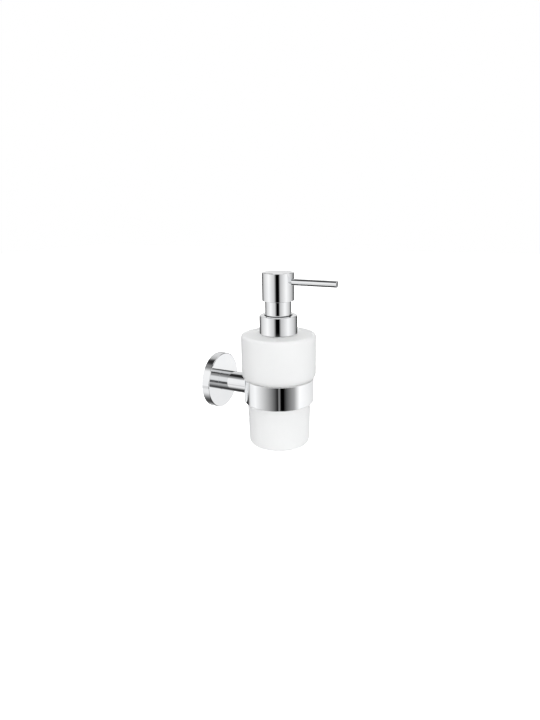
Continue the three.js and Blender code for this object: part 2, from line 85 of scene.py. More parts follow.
FINE, MEDIUM, SMALL, TINY = 192, 128, 64, 40  # facets round a full turn
ARC_STEPS = 7  # facets round a quarter of a softened edge
HOLD = 0.06 * MM  # loops this close to an edge keep the flats beside it flat
SHARP_ANGLE = radians(32)


# ---------- Profiles and turned shapes ----------
def softened(corners, closed):
    """Turns (radius, height, edge radius) corners into points, with an arc at each edge radius."""
    points = []
    for i, corner in enumerate(corners):
        here = Vector(corner[:2])
        edge = corner[2] if len(corner) > 2 else 0
        if not edge or (not closed and i in (0, len(corners) - 1)):
            points.append(here)
            continue
        back = (Vector(corners[i - 1][:2]) - here).normalized()
        on = (Vector(corners[(i + 1) % len(corners)][:2]) - here).normalized()
        half = back.angle(on) / 2
        centre = here + (back + on).normalized() * edge / sin(half)
        inset = edge / tan(half)
        start, end = ((here + way * inset - centre).normalized() for way in (back, on))
        steps = max(2, round(ARC_STEPS * start.angle(end) / (pi / 2)))
        points += [centre + start.slerp(end, k / steps) * edge for k in range(steps + 1)]
    return points


def held(points, closed):
    """Adds a loop near both ends of each long flat, so that smooth shading doesn't bend across it."""
    made = []
    for i, here in enumerate(points):
        made.append(here)
        if i == len(points) - 1 and not closed:
            break
        after = points[(i + 1) % len(points)]
        length = (after - here).length
        if length > 5 * HOLD:
            made += [here.lerp(after, HOLD / length), here.lerp(after, 1 - HOLD / length)]
    return made


def mesh_object(name, bm, place=None):
    if place:
        bm.transform(place)
    bmesh.ops.remove_doubles(bm, verts=bm.verts, dist=1e-7)
    bmesh.ops.recalc_face_normals(bm, faces=bm.faces)
    mesh = bpy.data.meshes.new(name)
    bm.to_mesh(mesh)
    bm.free()
    made = bpy.data.objects.new(name, mesh)
    bpy.context.scene.collection.objects.link(made)
    smooth(made)
    return made


def smooth(piece):
    piece.data.shade_smooth()
    piece.data.set_sharp_from_angle(angle=SHARP_ANGLE)


def swept(rings, closed_path=True):
    """A surface through equal rings of points. A ring of one point closes the surface there."""
    bm = bmesh.new()
    loops = [[bm.verts.new(p) for p in ring] for ring in rings]
    pairs = list(zip(loops, loops[1:] + loops[:1] if closed_path else loops[1:]))
    for low, high in pairs:
        count = max(len(low), len(high))
        for k in range(count):
            n = (k + 1) % count
            if len(low) == 1:
                bm.faces.new((low[0], high[n], high[k]))
            elif len(high) == 1:
                bm.faces.new((low[k], low[n], high[0]))
            else:
                bm.faces.new((low[k], low[n], high[n], high[k]))
    return bm


def circle(radius, height, facets):
    if radius < 1e-9:
        return [(0, 0, height)]
    turns = (2 * pi * k / facets for k in range(facets))
    return [(radius * cos(a), radius * sin(a), height) for a in turns]


def turned(name, corners, facets, place=UPRIGHT):
    """A solid of revolution. It is closed on itself, or starts and ends on the axis."""
    closed = corners[0][0] > 0
    profile = held(softened(corners, closed), closed)
    return mesh_object(name, swept([circle(r, z, facets) for r, z in profile], closed), place)


def cylinder(radius, bottom, top, facets, place):
    return turned("cutter", [(0, bottom), (radius, bottom), (radius, top), (0, top)], facets, place)


def combined(piece, tool, operation):
    """Cuts tool from piece, or joins it on, and deletes tool."""
    modifier = piece.modifiers.new("combined", "BOOLEAN")
    modifier.operation, modifier.object, modifier.solver = operation, tool, "EXACT"
    bpy.context.view_layer.update()
    result = piece.evaluated_get(bpy.context.evaluated_depsgraph_get())
    mesh = bpy.data.meshes.new_from_object(result)
    piece.modifiers.clear()
    piece.data = mesh
    bpy.data.objects.remove(tool)
    smooth(piece)
    return piece


def carve(piece, *tools):
    for tool in tools:
        combined(piece, tool, "DIFFERENCE")
    return piece


def reach(node):
    """Outer radius, bottom and top of a CAD node about the bottle's axis."""
    low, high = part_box(node)
    return (high.x - low.x) / 2, low.z, high.z


def depth(node):
    """Outer radius, and the distances from the wall where a CAD node starts and ends."""
    low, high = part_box(node)
    return (high.x - low.x) / 2, -high.y, -low.y


def tube_profile(bore, radius, bottom, top, edge, rim=None):
    """A tube whose outer edges are softened by edge, and whose bore's edges are softened by rim."""
    rim = edge if rim is None else rim
    return [(bore, bottom, rim), (radius, bottom, edge), (radius, top, edge), (bore, top, rim)]


# ---------- Materials ----------
def per_mm(count):
    return count / MM


class Finish:
    """A node material: a Principled surface with procedural detail in the piece's own space."""

    def __init__(self, name, colour, **values):
        self.material = bpy.data.materials.new(name)
        self.material.use_nodes = True
        self.tree = self.material.node_tree
        self.surface = self.tree.nodes["Principled BSDF"]
        self.place = self.tree.nodes.new("ShaderNodeTexCoord").outputs["Object"]
        self.normal = None
        self.surface.inputs["Base Color"].default_value = (*colour, 1)
        for key, value in values.items():
            self.surface.inputs[key.replace("_", " ").title().replace("Ior", "IOR")].default_value = value

    def node(self, kind, **links):
        made = self.tree.nodes.new(kind)
        for key, source in links.items():
            self.tree.links.new(source, made.inputs[key])
        return made

    def noise(self, scale, detail=3, stretch=(1, 1, 1), roughness=0.55):
        mapping = self.node("ShaderNodeMapping", Vector=self.place)
        mapping.inputs["Scale"].default_value = stretch
        made = self.node("ShaderNodeTexNoise", Vector=mapping.outputs["Vector"])
        made.inputs["Scale"].default_value = scale
        made.inputs["Detail"].default_value = detail
        made.inputs["Roughness"].default_value = roughness
        return made.outputs["Fac"]

    def cells(self, scale, feature="F1"):
        made = self.node("ShaderNodeTexVoronoi", Vector=self.place)
        made.feature = feature
        made.inputs["Scale"].default_value = scale
        return made.outputs["Color" if feature == "F1" else "Distance"]

    def between(self, source, low, high, start=0.3, end=0.7):
        made = self.node("ShaderNodeMapRange", Value=source)
        for key, value in (("From Min", start), ("From Max", end), ("To Min", low), ("To Max", high)):
            made.inputs[key].default_value = value
        return made.outputs["Result"]

    def roughness(self, source, low, high, start=0.3, end=0.7):
        made = self.between(source, low, high, start, end)
        self.tree.links.new(made, self.surface.inputs["Roughness"])

    def colours(self, source, first, second, start=0.3, end=0.7):
        mix = self.node("ShaderNodeMix")
        mix.data_type = "RGBA"
        factor, a, b = mix.inputs[0], mix.inputs[6], mix.inputs[7]
        self.tree.links.new(self.between(source, 0, 1, start, end), factor)
        a.default_value, b.default_value = (*first, 1), (*second, 1)
        self.tree.links.new(mix.outputs[2], self.surface.inputs["Base Color"])

    def bump(self, source, height, strength=1.0):
        made = self.node("ShaderNodeBump", Height=source)
        made.inputs["Distance"].default_value = height
        made.inputs["Strength"].default_value = strength
        if self.normal:
            self.tree.links.new(self.normal, made.inputs["Normal"])
        self.normal = made.outputs["Normal"]
        self.tree.links.new(self.normal, self.surface.inputs["Normal"])


def chrome():
    """Polished plate: clean reflections, a faint haze in patches, and fine polishing lines."""
    made = Finish("chrome_plate", (0.86, 0.87, 0.885), metallic=1.0, roughness=0.04)
    haze = made.noise(per_mm(0.06), 4)
    made.colours(haze, (0.85, 0.86, 0.875), (0.89, 0.895, 0.90))
    lines = made.noise(per_mm(1.2), 3, stretch=(1, 1, 9))
    made.roughness(lines, 0.012, 0.035)
    made.bump(made.noise(per_mm(0.09), 2), 0.004 * MM, 0.35)
    made.bump(lines, 0.0004 * MM, 0.3)
    return made.material


def frosted_glass():
    """Acid-etched glass: milky, with a fine sugary grain and slow changes in density."""
    made = Finish(
        "frosted_glass", (0.95, 0.965, 0.965), roughness=0.6, transmission_weight=0.42, ior=1.5,
        specular_ior_level=0.4,
    )
    made.colours(made.noise(per_mm(0.04), 3), (0.965, 0.97, 0.972), (0.985, 0.99, 0.99))
    made.roughness(made.noise(per_mm(0.5), 5, roughness=0.7), 0.52, 0.68)
    made.bump(made.noise(per_mm(5), 2), 0.02 * MM, 0.35)
    made.bump(made.noise(per_mm(0.05), 2), 0.15 * MM, 0.2)
    return made.material


def moulded(name, first, second, low, high, **values):
    """Moulded plastic: fine spark texture, slight flow marks and a slow change in tone."""
    made = Finish(name, first, **values)
    made.colours(made.noise(per_mm(0.12), 3, stretch=(1, 1, 0.3)), first, second)
    grain = made.noise(per_mm(3.5), 3)
    made.roughness(grain, low, high)
    made.bump(grain, 0.012 * MM, 0.35)
    return made.material


def white_plastic():
    return moulded(
        "white_plastic", (0.86, 0.86, 0.84), (0.9, 0.9, 0.885), 0.36, 0.5,
        subsurface_weight=0.15, subsurface_radius=(0.002, 0.002, 0.0018), specular_ior_level=0.45,
    )


def clear_plastic():
    return moulded(
        "clear_plastic", (0.86, 0.9, 0.91), (0.92, 0.94, 0.95), 0.2, 0.34,
        transmission_weight=0.75, ior=1.49,
    )


def zinc_steel():
    """Zinc plate: flat crystals of slightly different brightness, over rolled steel."""
    made = Finish("zinc_steel", (0.55, 0.57, 0.6), metallic=1.0, roughness=0.38)
    made.colours(made.cells(per_mm(0.45)), (0.46, 0.48, 0.51), (0.66, 0.68, 0.7), 0.1, 0.9)
    grain = made.noise(per_mm(2.2), 4)
    made.roughness(grain, 0.3, 0.48)
    made.bump(grain, 0.02 * MM, 0.4)
    return made.material


def spring_steel():
    """Bright wire and balls: drawn marks and small changes in gloss."""
    made = Finish("spring_steel", (0.66, 0.67, 0.68), metallic=1.0, roughness=0.22)
    made.colours(made.noise(per_mm(0.8), 3), (0.6, 0.61, 0.63), (0.72, 0.73, 0.74))
    marks = made.noise(per_mm(6), 4, stretch=(1, 1, 0.25))
    made.roughness(marks, 0.14, 0.3)
    made.bump(marks, 0.006 * MM, 0.4)
    return made.material


def rubber():
    made = Finish("rubber", (0.022, 0.022, 0.024), roughness=0.75, specular_ior_level=0.2)
    made.colours(made.noise(per_mm(0.7), 4), (0.016, 0.016, 0.018), (0.034, 0.034, 0.036))
    grain = made.noise(per_mm(6), 4)
    made.roughness(grain, 0.6, 0.85)
    made.bump(grain, 0.03 * MM, 0.5)
    return made.material


MATERIAL_OF = {
    "chrome": chrome(),
    "frosted_glass": frosted_glass(),
    "white_plastic": white_plastic(),
    "clear_plastic": clear_plastic(),
    "zinc_steel": zinc_steel(),
    "spring_steel": spring_steel(),
    "rubber": rubber(),
}


def dress(piece, node):
    """The piece stands for a CAD node: it takes the node's body, finish and material."""
    piece.name = f"visual_{node}"
    piece.data.materials.clear()
    piece.data.materials.append(MATERIAL_OF[SLOT_OF[node]])
    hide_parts(node)
    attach(piece, BODY_OF[node])
    return piece


# ---------- Wall holder ----------
def rosette():
    radius, back, front = depth("rosette")
    wall, face, bolt_hole = 3 * MM, 2.4 * MM, 2.7 * MM
    corners = [
        (radius - wall, back, 0.2 * MM),
        (radius, back, 0.3 * MM),
        (radius, front, 0.8 * MM),
        (bolt_hole, front),
        (bolt_hole, front - face),
        (radius - wall, front - face, 0.8 * MM),
    ]
    made = turned("rosette", corners, FINE, FROM_WALL)
    grub_low, grub_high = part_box("rosette_grub_screw")
    grub_radius = (grub_high.x - grub_low.x) / 2 + 0.1 * MM
    down = Matrix.Translation((0, (grub_low.y + grub_high.y) / 2, 0)) @ Matrix.Rotation(pi, 4, "X")
    carve(made, cylinder(grub_radius, radius - 2 * wall, radius + wall, SMALL, down))
    return dress(made, "rosette")


def arm_post():
    """Bar with a blunt foot on the rosette, and an end shaped to the ring."""
    radius = (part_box("arm_post")[1].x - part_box("arm_post")[0].x) / 2
    foot = depth("rosette")[2]
    ring_radius = reach("holder_ring")[0]
    bolt_bore, bolt_end, ring_bore, chamfer = 2.7 * MM, 20 * MM, 2.2 * MM, 0.25 * MM
    screw_start = depth("ring_screw")[2]
    bore_start = -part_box("ring_screw")[1].y - 1 * MM

    def ring(r, distance, saddle=False):
        points = []
        for x, y, _ in circle(r, 0, MEDIUM):
            out = -AXIS_Y - sqrt(ring_radius**2 - x**2) if saddle else 0
            points.append((x, y, out + distance))
        return points

    rings = [
        [(0, 0, bolt_end)],
        ring(bolt_bore, bolt_end),
        ring(bolt_bore, foot),
        ring(radius - chamfer, foot),
        ring(radius, foot + chamfer),
        ring(radius, foot + chamfer + HOLD),
        ring(radius, -HOLD, saddle=True),
        ring(radius, 0, saddle=True),
        ring(ring_bore, 0, saddle=True),
        ring(ring_bore, bore_start),
        [(0, 0, bore_start)],
    ]
    assert bolt_end < bore_start < screw_start
    return dress(mesh_object("arm_post", swept(rings, closed_path=False), FROM_WALL), "arm_post")


def holder_ring():
    radius, bottom, top = reach("holder_ring")
    bore = radius - 1.8 * MM
    made = turned("holder_ring", tube_profile(bore, radius, bottom, top, 0.35 * MM, 0.15 * MM), FINE)
    screw_radius = reach("ring_screw")[0]
    shank = 2.1 * MM
    to_wall = UPRIGHT @ Matrix.Rotation(radians(-90), 4, "X")
    sink = [
        (0, bore - 2 * MM),
        (screw_radius + 0.2 * MM, bore - 2 * MM),
        (screw_radius + 0.2 * MM, bore + 0.1 * MM),
        (shank, bore + screw_radius - shank + 0.3 * MM),
        (shank, radius + 2 * MM),
        (0, radius + 2 * MM),
    ]
    carve(made, turned("cutter", sink, SMALL, to_wall))
    return dress(made, "holder_ring")


def ring_liner():
    """Loose bush with a thin flange that rests on the ring."""
    lip_radius, bottom, top = reach("ring_liner")
    ring_top = reach("holder_ring")[2]
    outer, bore, under_lip = 31 * MM, 30.45 * MM, ring_top + 0.1 * MM
    corners = [
        (bore, bottom, 0.2 * MM),
        (outer, bottom, 0.15 * MM),
        (outer, under_lip),
        (lip_radius, under_lip, 0.1 * MM),
        (lip_radius, top, 0.15 * MM),
        (bore, top, 0.2 * MM),
    ]
    return dress(turned("ring_liner", corners, FINE), "ring_liner")


# ---------- Bottle ----------
def thread(radius, start, direction, bury):
    """Right-hand helical ridge that runs out at both ends. Direction is +1 outwards, -1 inwards."""
    pitch, turns, height, half_width = 4 * MM, 1.25, 1.25 * MM, 0.8 * MM
    facets, section = 96, 9
    steps = round(turns * facets)
    run_out = facets / 10
    bm = bmesh.new()
    loops = []
    for i in range(steps + 1):
        angle = 2 * pi * i / facets
        centre = start + pitch * i / facets
        fade = min(1, i / run_out, (steps - i) / run_out)
        crest = height * (0.12 + 0.88 * sin(fade * pi / 2))
        loop = []
        for k in range(section):
            t = k / (section - 1) * 2 - 1
            r = radius + direction * crest * (1 - abs(t) ** 3)
            loop.append(bm.verts.new((r * cos(angle), r * sin(angle), centre + half_width * t)))
        for t in (1, -1):
            r = radius - direction * bury
            loop.append(bm.verts.new((r * cos(angle), r * sin(angle), centre + half_width * t)))
        loops.append(loop)
    count = len(loops[0])
    for low, high in zip(loops, loops[1:]):
        for k in range(count):
            n = (k + 1) % count
            bm.faces.new((low[k], low[n], high[n], high[k]))
    bm.faces.new(loops[0])
    bm.faces.new(list(reversed(loops[-1])))
    return mesh_object("thread", bm, UPRIGHT)


def glass_bottle():
    """Blown glass: a wide body above the ring, a shank through it, a pushed-up base and a threaded neck."""
    body, foot, mouth = reach("glass_bottle")
    ring_low, ring_top = reach("holder_ring")[1:]
    under_body = ring_top + 0.65 * MM
    shoulder = reach("collar_shell")[1] - 0.5 * MM
    shank, base, neck, neck_bore, wall = 30.1 * MM, 29 * MM, 13.9 * MM, 11 * MM, 3.3 * MM
    outside = [
        (0, foot + 1 * MM),
        (19 * MM, foot + 1 * MM, 4 * MM),
        (22.5 * MM, foot, 2 * MM),
        (base, foot, 3.4 * MM),
        (shank, ring_low, 8 * MM),
        (shank, under_body, 0.2 * MM),
        (body, under_body, 4 * MM),
        (body, shoulder, 3 * MM),
        (neck, shoulder, 0.8 * MM),
        (neck, mouth, 0.8 * MM),
    ]
    inside = [
        (neck_bore, mouth, 0.8 * MM),
        (neck_bore, shoulder - wall, 1.2 * MM),
        (body - wall, shoulder - wall, 3 * MM),
        (body - wall, under_body + 4.6 * MM, 3 * MM),
        (shank - wall, under_body + 1.6 * MM, 3 * MM),
        (shank - wall, ring_low, 8 * MM),
        (base - wall, foot + wall, 3 * MM),
        (19 * MM, foot + wall, 4 * MM),
        (0, foot + wall + 0.8 * MM),
    ]
    made = turned("glass_bottle", outside + inside, FINE)
    thread_start, thread_root = 58 * MM, 0.4 * MM
    combined(made, thread(neck, thread_start, 1, thread_root), "UNION")
    made.visible_glossy = False  # the chrome doesn't mirror the glass
    return dress(made, "glass_bottle")


# ---------- Collar ----------
def collar_shell():
    radius, bottom, top = reach("collar_shell")
    wall, hole = 0.9 * MM, reach("guide_sleeve")[0] + 0.95 * MM
    corners = [
        (radius - wall, bottom, 0.25 * MM),
        (radius, bottom, 0.25 * MM),
        (radius, top, 0.6 * MM),
        (hole, top, 0.2 * MM),
        (hole, top - wall),
        (radius - wall, top - wall, 0.5 * MM),
    ]
    made = turned("collar_shell", corners, FINE)
    made.visible_diffuse = False  # the collar doesn't darken the glass under it
    return dress(made, "collar_shell")


def guide_sleeve():
    radius, bottom, top = reach("guide_sleeve")
    made = turned("guide_sleeve", tube_profile(radius - 1 * MM, radius, bottom, top, 0.3 * MM), FINE)
    return dress(made, "guide_sleeve")


# ---------- Head ----------
def spout_place():
    """Frame with its Z along the spout, away from the wall, from the bottle's axis."""
    low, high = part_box("spout_tube")
    return Matrix.Translation((0, AXIS_Y, (low.z + high.z) / 2)) @ FROM_WALL


def pump_head():
    """Hollow cap with a light bevel round its top and the spout's hole in its side."""
    radius, bottom, top = reach("pump_head")
    bore, ceiling = radius - 1.3 * MM, top - 3.2 * MM
    spout_low, spout_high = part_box("spout_tube")
    bevel = 0.4 * MM
    corners = [
        (0, ceiling),
        (bore, ceiling, 0.6 * MM),
        (bore, bottom, 0.2 * MM),
        (radius, bottom, 0.25 * MM),
        (radius, spout_low.z - 1 * MM),
        (radius, spout_high.z + 1 * MM),
        (radius, top - bevel, 0.1 * MM),
        (radius - bevel, top, 0.1 * MM),
        (0, top),
    ]
    made = turned("pump_head", corners, FINE)
    hole = (spout_high.z - spout_low.z) / 2 + 0.04 * MM
    carve(made, cylinder(hole, bore - 3 * MM, radius + 3 * MM, SMALL, spout_place()))
    return dress(made, "pump_head")


def spout_tube():
    """Drilled rod with a closed, bevelled tip and an outlet hole underneath."""
    low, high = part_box("spout_tube")
    radius, start, end = (high.z - low.z) / 2, AXIS_Y - high.y, AXIS_Y - low.y
    bore, bevel, outlet_back, outlet = 1.9 * MM, 0.22 * MM, 8 * MM, 1.3 * MM
    outlet_y = low.y + outlet_back
    corners = [
        (0, end - 2.5 * MM),
        (bore, end - 3.5 * MM),
        (bore, start),
        (radius, start, 0.2 * MM),
        (radius, end - outlet_back - 3 * MM),
        (radius, end - outlet_back + 3 * MM),
        (radius, end - bevel, 0.08 * MM),
        (radius - bevel, end, 0.08 * MM),
        (0, end),
    ]
    made = turned("spout_tube", corners, MEDIUM, spout_place())
    below = Matrix.Translation((0, outlet_y, 0))
    carve(made, cylinder(outlet, low.z - 1 * MM, (low.z + high.z) / 2, SMALL, below))
    return dress(made, "spout_tube")


# ---------- Fixings behind the rosette and in the ring ----------
def hexagon(across, bottom, top, place):
    """Cutter for a hexagonal socket."""
    return mesh_object("cutter", swept([
        [(0, 0, bottom)], circle(across, bottom, 6), circle(across, top, 6), [(0, 0, top)],
    ], closed_path=False), place)


def wall_bracket():
    """Dished plate with a rim for the rosette, and two countersunk holes for the wall screws."""
    radius, back, rim = depth("wall_bracket")
    plate, rim_wall = 2 * MM, 1.8 * MM
    corners = [
        (0, back),
        (radius, back, 0.3 * MM),
        (radius, rim, 0.4 * MM),
        (radius - rim_wall, rim, 0.4 * MM),
        (radius - rim_wall, plate, 0.8 * MM),
        (0, plate),
    ]
    made = turned("wall_bracket", corners, MEDIUM, FROM_WALL)
    hole, sink, spacing = 2.6 * MM, 4.9 * MM, 28 * MM
    screw_hole = [
        (0, -1 * MM),
        (hole, -1 * MM),
        (hole, plate - (sink - hole)),
        (sink, plate),
        (sink, plate + 1 * MM),
        (0, plate + 1 * MM),
    ]
    for side in (-1, 1):
        aside = Matrix.Translation((side * spacing / 2, 0, 0)) @ FROM_WALL
        carve(made, turned("cutter", screw_hole, SMALL, aside))
    return dress(made, "wall_bracket")


def arm_washer():
    radius, back, front = depth("arm_washer")
    made = turned("arm_washer", tube_profile(2.7 * MM, radius, back, front, 0.15 * MM), SMALL, FROM_WALL)
    return dress(made, "arm_washer")


def socket_screw(node, corners, across, socket_depth, place, facets=SMALL):
    """A turned screw whose profile starts at its head, with a hexagonal socket in the head."""
    start = corners[0][1]
    made = turned(node, corners, facets, place)
    carve(made, hexagon(across, start - 1 * MM, start + socket_depth, place))
    return dress(made, node)


def arm_bolt():
    head_radius, start, end = depth("arm_bolt")
    shank, head = 2.4 * MM, 2.4 * MM
    corners = [
        (0, start),
        (head_radius, start, 0.5 * MM),
        (head_radius, start + head, 0.15 * MM),
        (shank, start + head, 0.2 * MM),
        (shank, end, 0.6 * MM),
        (0, end),
    ]
    return socket_screw("arm_bolt", corners, 1.75 * MM, 1.3 * MM, FROM_WALL)


def rosette_grub_screw():
    low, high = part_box("rosette_grub_screw")
    radius = (high.x - low.x) / 2
    corners = [(0, low.z), (radius, low.z, 0.2 * MM), (radius, high.z, 0.6 * MM), (0, high.z)]
    place = Matrix.Translation((0, (low.y + high.y) / 2, 0))
    return socket_screw("rosette_grub_screw", corners, 1.1 * MM, 1.6 * MM, place, TINY)


def ring_screw():
    low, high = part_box("ring_screw")
    head_radius, shank = (high.x - low.x) / 2, 1.9 * MM
    start, end = low.y - AXIS_Y, high.y - AXIS_Y
    corners = [
        (0, start),
        (head_radius, start, 0.15 * MM),
        (shank, start + head_radius - shank),
        (shank, end, 0.5 * MM),
        (0, end),
    ]
    to_wall = UPRIGHT @ Matrix.Rotation(radians(-90), 4, "X")
    return socket_screw("ring_screw", corners, 1.4 * MM, 1.1 * MM, to_wall)


# ---------- Pump ----------
def threaded_closure():
    """Moulded nut inside the collar, with an internal thread and a spigot that carries the sleeve."""
    radius, bottom, top = reach("threaded_closure")
    bore, spigot, spigot_bore = 15.6 * MM, 10.7 * MM, 9.7 * MM
    under_plate = reach("pump_housing")[2] + 0.3 * MM
    plate = under_plate + 0.9 * MM
    corners = [
        (bore, bottom, 0.2 * MM),
        (radius, bottom, 0.2 * MM),
        (radius, plate, 0.4 * MM),
        (spigot, plate, 0.2 * MM),
        (spigot, top, 0.3 * MM),
        (spigot_bore, top, 0.2 * MM),
        (spigot_bore, under_plate, 0.1 * MM),
        (bore, under_plate, 0.5 * MM),
    ]
    made = turned("threaded_closure", corners, MEDIUM)
    thread_start, thread_root = 56 * MM, 0.3 * MM
    combined(made, thread(bore, thread_start, -1, thread_root), "UNION")
    return dress(made, "threaded_closure")


def neck_gasket():
    radius, bottom, top = reach("neck_gasket")
    made = turned("neck_gasket", tube_profile(8.8 * MM, radius, bottom, top, 0.25 * MM), MEDIUM)
    return dress(made, "neck_gasket")


def pump_housing():
    """Flanged cylinder with a valve chamber and a tail that grips the dip tube."""
    flange, bottom, top = reach("pump_housing")
    tube_radius = reach("dip_tube")[0]
    tail, body, cylinder_bore, chamber, inlet = 4.1 * MM, 8.5 * MM, 7.2 * MM, 3.4 * MM, 1.7 * MM
    shoulder, seat, spring_seat = 24.5 * MM, 26 * MM, 32 * MM
    corners = [
        (tube_radius + 0.3 * MM, bottom, 0.3 * MM),
        (tail, bottom, 0.4 * MM),
        (tail, shoulder, 1 * MM),
        (body, shoulder + 4.5 * MM, 1.2 * MM),
        (body, top - 1 * MM, 0.3 * MM),
        (flange, top - 1 * MM, 0.3 * MM),
        (flange, top, 0.3 * MM),
        (cylinder_bore, top, 0.2 * MM),
        (cylinder_bore, spring_seat, 0.4 * MM),
        (chamber - 1.2 * MM, spring_seat),
        (chamber - 1.2 * MM, spring_seat - 0.6 * MM),
        (chamber, spring_seat - 1.1 * MM),
        (chamber, seat + chamber - inlet),
        (inlet, seat),
        (inlet, shoulder),
        (tube_radius + 0.3 * MM, shoulder),
    ]
    return dress(turned("pump_housing", corners, MEDIUM), "pump_housing")


def housing_cap():
    """Bush pressed into the housing: guides the stem and stops the piston."""
    radius, bottom, top = reach("housing_cap")
    bore, plug, lip = 4.3 * MM, 6.95 * MM, 1.4 * MM
    corners = [
        (bore, bottom, 0.3 * MM),
        (plug, bottom, 0.4 * MM),
        (plug, top - lip, 0.1 * MM),
        (radius, top - lip, 0.2 * MM),
        (radius, top, 0.3 * MM),
        (bore, top, 0.3 * MM),
    ]
    return dress(turned("housing_cap", corners, MEDIUM), "housing_cap")


def dip_tube():
    """Straight tube, cut at a slant so that its foot can't seal against the bottle."""
    radius, bottom, top = reach("dip_tube")
    slope = radians(35)
    facets, drop = SMALL, radius * tan(slope)

    def ring(r, height, slanted=False):
        return [(x, y, z + (y * tan(slope) if slanted else 0)) for x, y, z in circle(r, height, facets)]

    bore, foot = radius - 0.9 * MM, bottom + drop
    rings = [
        ring(bore, foot, True),
        ring(radius, foot, True),
        ring(radius, foot + 2 * drop),
        ring(radius, top - 0.2 * MM),
        ring(radius - 0.2 * MM, top),
        ring(bore, top),
        ring(bore, foot + 2 * drop),
    ]
    return dress(mesh_object("dip_tube", swept(rings), UPRIGHT), "dip_tube")


def return_spring():
    """Compression spring with closed ends, built at the CAD node's length."""
    radius, bottom, top = reach("return_spring")
    wire, open_coils, closed_pitch = 0.5 * MM, 4, 1.15 * MM
    line_radius, start, rise = radius - wire, bottom + wire, top - bottom - 2 * wire
    steps_a_turn, section = 48, 14
    open_pitch = (rise - 2 * closed_pitch) / open_coils
    rings = []
    for i in range(steps_a_turn * (open_coils + 2) + 1):
        turns = i / steps_a_turn
        angle = 2 * pi * turns
        low, high = min(turns, 1), max(0, turns - open_coils - 1)
        height = start + closed_pitch * (low + high) + open_pitch * (turns - low - high)
        outward = Vector((cos(angle), sin(angle), 0))
        spots = (2 * pi * k / section for k in range(section))
        rings.append([
            tuple(outward * (line_radius + wire * cos(a)) + Vector((0, 0, height + wire * sin(a))))
            for a in spots
        ])
    ends = [[tuple(sum((Vector(p) for p in ring), Vector()) / section)] for ring in (rings[0], rings[-1])]
    made = mesh_object("return_spring", swept([ends[0], *rings, ends[1]], closed_path=False), UPRIGHT)
    dress(made, "return_spring")
    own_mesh(made)
    return made


def ball(node):
    low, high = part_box(node)
    bm = bmesh.new()
    bmesh.ops.create_uvsphere(bm, u_segments=SMALL, v_segments=SMALL // 2, radius=(high.x - low.x) / 2)
    return dress(mesh_object(node, bm, Matrix.Translation((low + high) / 2)), node)


def stem():
    """Hollow rod with a foot on the spring and a valve chamber at its top."""
    foot_radius, bottom, top = reach("stem")
    radius, bore, chamber, chamber_floor = 4 * MM, 1.3 * MM, 2.4 * MM, 90 * MM
    corners = [
        (bore, bottom, 0.2 * MM),
        (foot_radius, bottom, 0.3 * MM),
        (foot_radius, bottom + 1.2 * MM, 0.3 * MM),
        (radius, bottom + 1.2 * MM, 0.3 * MM),
        (radius, top, 0.3 * MM),
        (chamber, top, 0.2 * MM),
        (chamber, chamber_floor),
        (bore, chamber_floor - (chamber - bore)),
    ]
    return dress(turned("stem", corners, SMALL), "stem")


def piston():
    """Seal with a lip at each end and a waist between."""
    radius, bottom, top = reach("piston")
    waist, lip, bore = radius - 0.75 * MM, 1.6 * MM, 4.25 * MM
    corners = [
        (bore, bottom, 0.2 * MM),
        (radius, bottom, 0.15 * MM),
        (radius, bottom + lip, 0.5 * MM),
        (waist, bottom + lip + 0.9 * MM, 0.6 * MM),
        (waist, top - lip - 0.9 * MM, 0.6 * MM),
        (radius, top - lip, 0.5 * MM),
        (radius, top, 0.15 * MM),
        (bore, top, 0.2 * MM),
    ]
    return dress(turned("piston", corners, MEDIUM), "piston")


def head_insert():
    """Plastic core that joins the stem to the spout."""
    radius, bottom, top = reach("head_insert")
    boss, shelf, stem_top, socket = 6.5 * MM, 97.8 * MM, reach("stem")[2], 4.25 * MM
    corners = [
        (0, stem_top + 0.3 * MM),
        (socket, stem_top + 0.3 * MM, 0.2 * MM),
        (socket, bottom, 0.3 * MM),
        (boss, bottom, 0.4 * MM),
        (boss, shelf, 0.8 * MM),
        (radius, shelf, 0.3 * MM),
        (radius, top, 0.3 * MM),
        (0, top),
    ]
    made = turned("head_insert", corners, MEDIUM)
    spout_low, spout_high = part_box("spout_tube")
    spout_start = AXIS_Y - spout_high.y
    hole = (spout_high.z - spout_low.z) / 2 + 0.2 * MM
    up_bore, cross_bore = 1.9 * MM, 1.5 * MM
    carve(
        made,
        cylinder(up_bore, stem_top - 1 * MM, (spout_low.z + spout_high.z) / 2 + up_bore, TINY, UPRIGHT),
        cylinder(cross_bore, 0.5 * MM, spout_start + 0.5 * MM, TINY, spout_place()),
        cylinder(hole, spout_start - 0.3 * MM, radius + 2 * MM, SMALL, spout_place()),
    )
    return dress(made, "head_insert")


def collar_painted_shade():
    """Black ring in the collar's hole, round the foot of the sleeve, shaped as a lip seal: painted shade for
    the dark gap there. The CAD has no such node.
    """
    sleeve, top = reach("guide_sleeve")[0], reach("collar_shell")[2]
    gap, width, foot, lip = 0.02 * MM, 0.9 * MM, 0.7 * MM, 0.55 * MM
    corners = [
        (sleeve + gap, top - foot, 0.05 * MM),
        (sleeve + width, top - foot, 0.05 * MM),
        (sleeve + width, top - 0.12 * MM, 0.1 * MM),
        (sleeve + 0.35 * MM, top, 0.1 * MM),
        (sleeve + 0.2 * MM, top + 0.5 * MM, 0.06 * MM),
        (sleeve + gap, top + lip, 0.05 * MM),
    ]
    made = turned("visual_collar_wiper", corners, FINE)
    # the black rubber finish paints the shade in the gap round the sleeve's foot
    made.data.materials.append(MATERIAL_OF["rubber"])
    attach(made, "collar")


